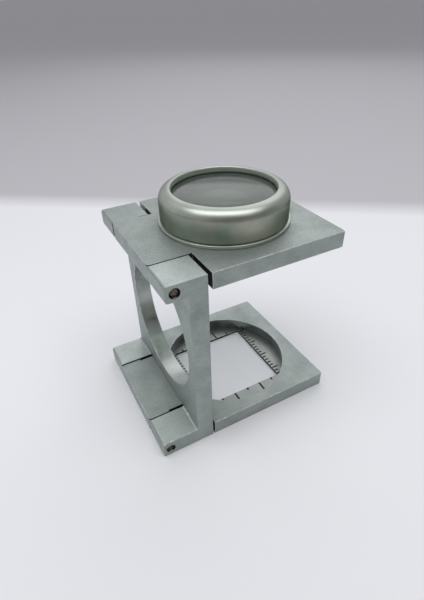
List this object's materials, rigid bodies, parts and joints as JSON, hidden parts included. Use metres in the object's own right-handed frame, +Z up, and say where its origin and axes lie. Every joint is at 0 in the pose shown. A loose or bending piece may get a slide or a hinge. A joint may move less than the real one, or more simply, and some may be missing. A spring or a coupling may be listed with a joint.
{
  "type": "folding viewing loupe",
  "caption": "Pocket loupe on three hinged metal plates that open over a square graduated window for inspecting film, prints or cloth.",
  "frame": {"origin": "centre of the base's underside", "axes": "+X from the hinge end to the free end, +Y along the hinge pins, +Z up through the lens"},
  "size_m": [0.0386, 0.0312, 0.045],
  "materials": {
    "satin_metal": "satin, fine bead-blasted grain, edges worn bright",
    "turned_metal": "satin turned, smoother than the plates",
    "black_finish": "matt black",
    "black_rubber": "matt",
    "optical_glass": "polished",
    "pin_steel": "drawn wire, lightly browned",
    "spring_steel": "bright"
  },
  "bodies": {
    "base": {"base_plate": "satin_metal", "scale_plate": "satin_metal", "base_hinge_washer_front": "spring_steel", "base_hinge_washer_rear": "spring_steel"},
    "upright": {"upright_frame": "satin_metal", "base_hinge_pin_front": "pin_steel", "base_hinge_pin_rear": "pin_steel", "lens_hinge_pin_front": "pin_steel", "lens_hinge_pin_rear": "pin_steel"},
    "lens_holder": {"lens_plate": "satin_metal", "lens_barrel": "turned_metal", "barrel_lock_ring": "black_finish", "lens_bezel": "turned_metal", "bezel_gasket": "black_rubber", "eye_lens": "optical_glass", "lens_spacer": "black_finish", "field_lens": "optical_glass", "seat_gasket": "black_rubber", "lens_hinge_washer_front": "spring_steel", "lens_hinge_washer_rear": "spring_steel"}
  },
  "joints": [
    {"name": "base_hinge", "type": "hinge", "parent": "base", "child": "upright", "pos_m": [-0.0177, 0, 0.00165], "axis": [0, -1, 0], "range_deg": [0, 270]},
    {"name": "lens_hinge", "type": "hinge", "parent": "upright", "child": "lens_holder", "pos_m": [-0.01405, 0, 0.03705], "axis": [0, -1, 0], "range_deg": [0, 270]}
  ]
}
